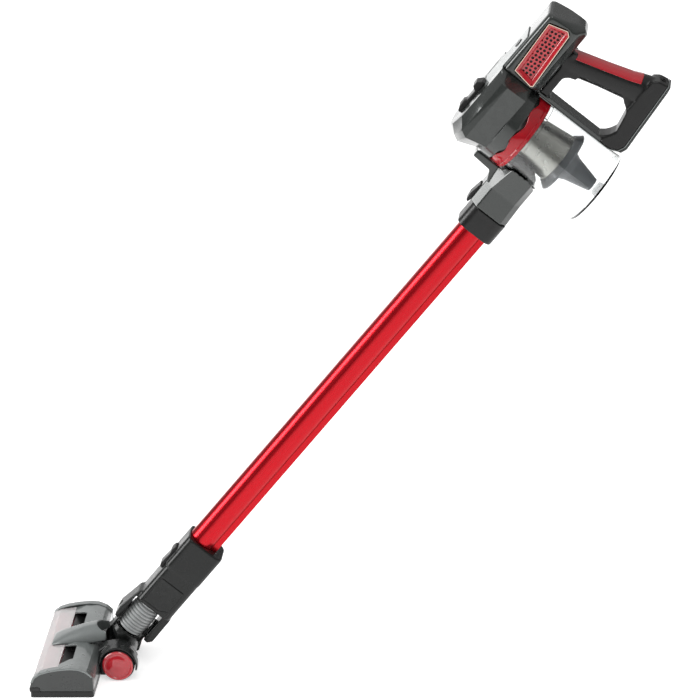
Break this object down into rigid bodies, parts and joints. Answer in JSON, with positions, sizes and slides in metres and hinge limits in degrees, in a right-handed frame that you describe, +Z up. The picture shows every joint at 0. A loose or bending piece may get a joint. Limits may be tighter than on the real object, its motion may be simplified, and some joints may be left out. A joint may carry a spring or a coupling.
{
  "type": "upright vacuum cleaner",
  "caption": "Cordless stick vacuum cleaner: a handheld cyclone unit with a loop handle, a straight wand, and a swivelling wheeled floor head with a powered brush.",
  "frame": {"origin": "on the floor, under the floor head's sole plate, on its middle line", "axes": "+X to the user's right across the floor head, +Y forwards, +Z up; the wand leans back 49.5 degrees above the floor"},
  "size_m": [0.218, 0.8587, 0.9123],
  "materials": {
    "gloss_charcoal": "glossy",
    "matte_black": "matte",
    "silver_plastic": "satin",
    "grey_plastic": "matte",
    "charcoal_plastic": "matte",
    "red_metal": "metallic gloss",
    "red_plastic": "glossy",
    "red_clear": "translucent",
    "clear_plastic": "clear",
    "mesh_steel": "perforated",
    "steel": "brushed",
    "champagne": "satin",
    "soft_rubber": "matte",
    "tyre_rubber": "matte",
    "hose_silver": "satin",
    "filter_paper": "pleated",
    "brush_pile": "soft pile",
    "motor_metal": "cast",
    "board_green": "matte",
    "brass_contact": "bright"
  },
  "bodies": {
    "handheld": {"inlet_duct": "gloss_charcoal", "cyclone_housing": "gloss_charcoal", "mesh_filter": "mesh_steel", "cyclone_cone": "grey_plastic", "hepa_filter": "filter_paper", "motor_body": "motor_metal", "motor_cap": "gloss_charcoal", "exhaust_box": "gloss_charcoal", "grille_left": "red_plastic", "grille_right": "red_plastic", "grille_trims": "champagne", "display_panel": "silver_plastic", "circuit_board": "board_green", "grip_shell": "matte_black", "grip_insert": "red_plastic", "handle_base": "gloss_charcoal", "charge_socket": "matte_black", "handle_trim": "silver_plastic", "front_strut": "gloss_charcoal"},
    "wand": {"wand_tube": "red_metal", "wand_power_lead": "soft_rubber", "wand_upper_collar": "matte_black", "wand_lower_plug": "matte_black"},
    "neck": {"neck_fork": "charcoal_plastic", "neck_side_covers": "charcoal_plastic", "swivel_pins": "steel"},
    "neck_button": {"neck_latch_button": "matte_black"},
    "elbow": {"elbow": "charcoal_plastic", "flexible_hose": "hose_silver"},
    "floor_head": {"head_base": "matte_black", "head_screws": "steel", "head_top_cover": "silver_plastic", "spine_cover": "silver_plastic", "brush_window": "clear_plastic", "end_cap_left": "charcoal_plastic", "end_cap_right": "charcoal_plastic", "front_bumper": "soft_rubber", "rear_housing": "charcoal_plastic", "pivot_axles": "steel", "brush_bearing": "matte_black", "brush_motor": "steel", "drive_belt": "soft_rubber"},
    "motor_pulley": {"motor_pulley": "steel"},
    "brush": {"brush_roller": "red_plastic", "brush_bristles": "brush_pile"},
    "left_wheel": {"wheel_hub_left": "red_plastic", "wheel_tyre_left": "tyre_rubber"},
    "right_wheel": {"wheel_hub_right": "red_plastic", "wheel_tyre_right": "tyre_rubber"},
    "fan": {"impeller": "silver_plastic"},
    "inlet_button": {"inlet_button": "matte_black"},
    "cap_latch": {"cap_latch": "matte_black"},
    "speed_button": {"speed_button": "matte_black"},
    "battery": {"battery_pack": "gloss_charcoal"},
    "battery_button": {"battery_button": "matte_black"},
    "lock_ring": {"red_lock_ring": "red_clear"},
    "cup": {"dust_cup": "clear_plastic", "cup_seal": "soft_rubber"}
  },
  "joints": [
    {"name": "wand_pull_off", "type": "slide", "parent": "handheld", "child": "wand", "axis": [0, 0.6494, -0.7604], "range_m": [0, 0.045]},
    {"name": "neck_pull_off", "type": "slide", "parent": "wand", "child": "neck", "axis": [0, 0.6494, -0.7604], "range_m": [0, 0.045]},
    {"name": "neck_swivel", "type": "hinge", "parent": "neck", "child": "elbow", "pos_m": [0, -0.06839, 0.06827], "axis": [0, 0.7604, 0.6494], "range_deg": [-38, 38], "deforming": ["flexible_hose"]},
    {"name": "head_pitch", "type": "hinge", "parent": "elbow", "child": "floor_head", "pos_m": [0, -0.04465, 0.022], "axis": [1, 0, 0], "range_deg": [-42, 25]},
    {"name": "left_wheel_spin", "type": "hinge", "parent": "floor_head", "child": "left_wheel", "pos_m": [-0.052, -0.04465, 0.022], "axis": [1, 0, 0], "continuous": true},
    {"name": "right_wheel_spin", "type": "hinge", "parent": "floor_head", "child": "right_wheel", "pos_m": [0.052, -0.04465, 0.022], "axis": [1, 0, 0], "continuous": true},
    {"name": "brush_spin", "type": "hinge", "parent": "floor_head", "child": "brush", "pos_m": [0, 0.044, 0.016], "axis": [1, 0, 0], "continuous": true},
    {"name": "motor_pulley_spin", "type": "hinge", "parent": "floor_head", "child": "motor_pulley", "pos_m": [-0.09, 0.002, 0.022], "axis": [1, 0, 0], "continuous": true},
    {"name": "fan_spin", "type": "hinge", "parent": "handheld", "child": "fan", "pos_m": [0, -0.57281, 0.76974], "axis": [0, 0.7604, 0.6494], "continuous": true},
    {"name": "inlet_button_press", "type": "slide", "parent": "handheld", "child": "inlet_button", "axis": [0, -0.7604, -0.6494], "range_m": [0, 0.0025], "stiffness_N_per_m": 400, "springref_m": -0.002},
    {"name": "neck_button_press", "type": "slide", "parent": "neck", "child": "neck_button", "axis": [0, -0.7604, -0.6494], "range_m": [0, 0.0025], "stiffness_N_per_m": 400, "springref_m": -0.002},
    {"name": "speed_button_press", "type": "slide", "parent": "handheld", "child": "speed_button", "axis": [0, -0.7604, -0.6494], "range_m": [0, 0.0015], "stiffness_N_per_m": 400, "springref_m": -0.002},
    {"name": "battery_button_press", "type": "slide", "parent": "handheld", "child": "battery_button", "axis": [-1, 0, 0], "range_m": [0, 0.002], "stiffness_N_per_m": 400, "springref_m": -0.002},
    {"name": "cap_latch_slide", "type": "slide", "parent": "handheld", "child": "cap_latch", "axis": [0, 0.6494, -0.7604], "range_m": [0, 0.006], "stiffness_N_per_m": 300, "springref_m": -0.002},
    {"name": "lock_ring_twist", "type": "hinge", "parent": "handheld", "child": "lock_ring", "pos_m": [0, -0.59715, 0.74896], "axis": [0, 0.7604, 0.6494], "range_deg": [0, 25]},
    {"name": "cup_pull_off", "type": "slide", "parent": "handheld", "child": "cup", "axis": [0, -0.7604, -0.6494], "range_m": [0, 0.12]},
    {"name": "battery_pull_out", "type": "slide", "parent": "handheld", "child": "battery", "axis": [0, -0.7604, -0.6494], "range_m": [0, 0.04]}
  ],
  "couplings": [
    {"joint": "motor_pulley_spin", "follows": "brush_spin", "ratio": 1.6}
  ]
}
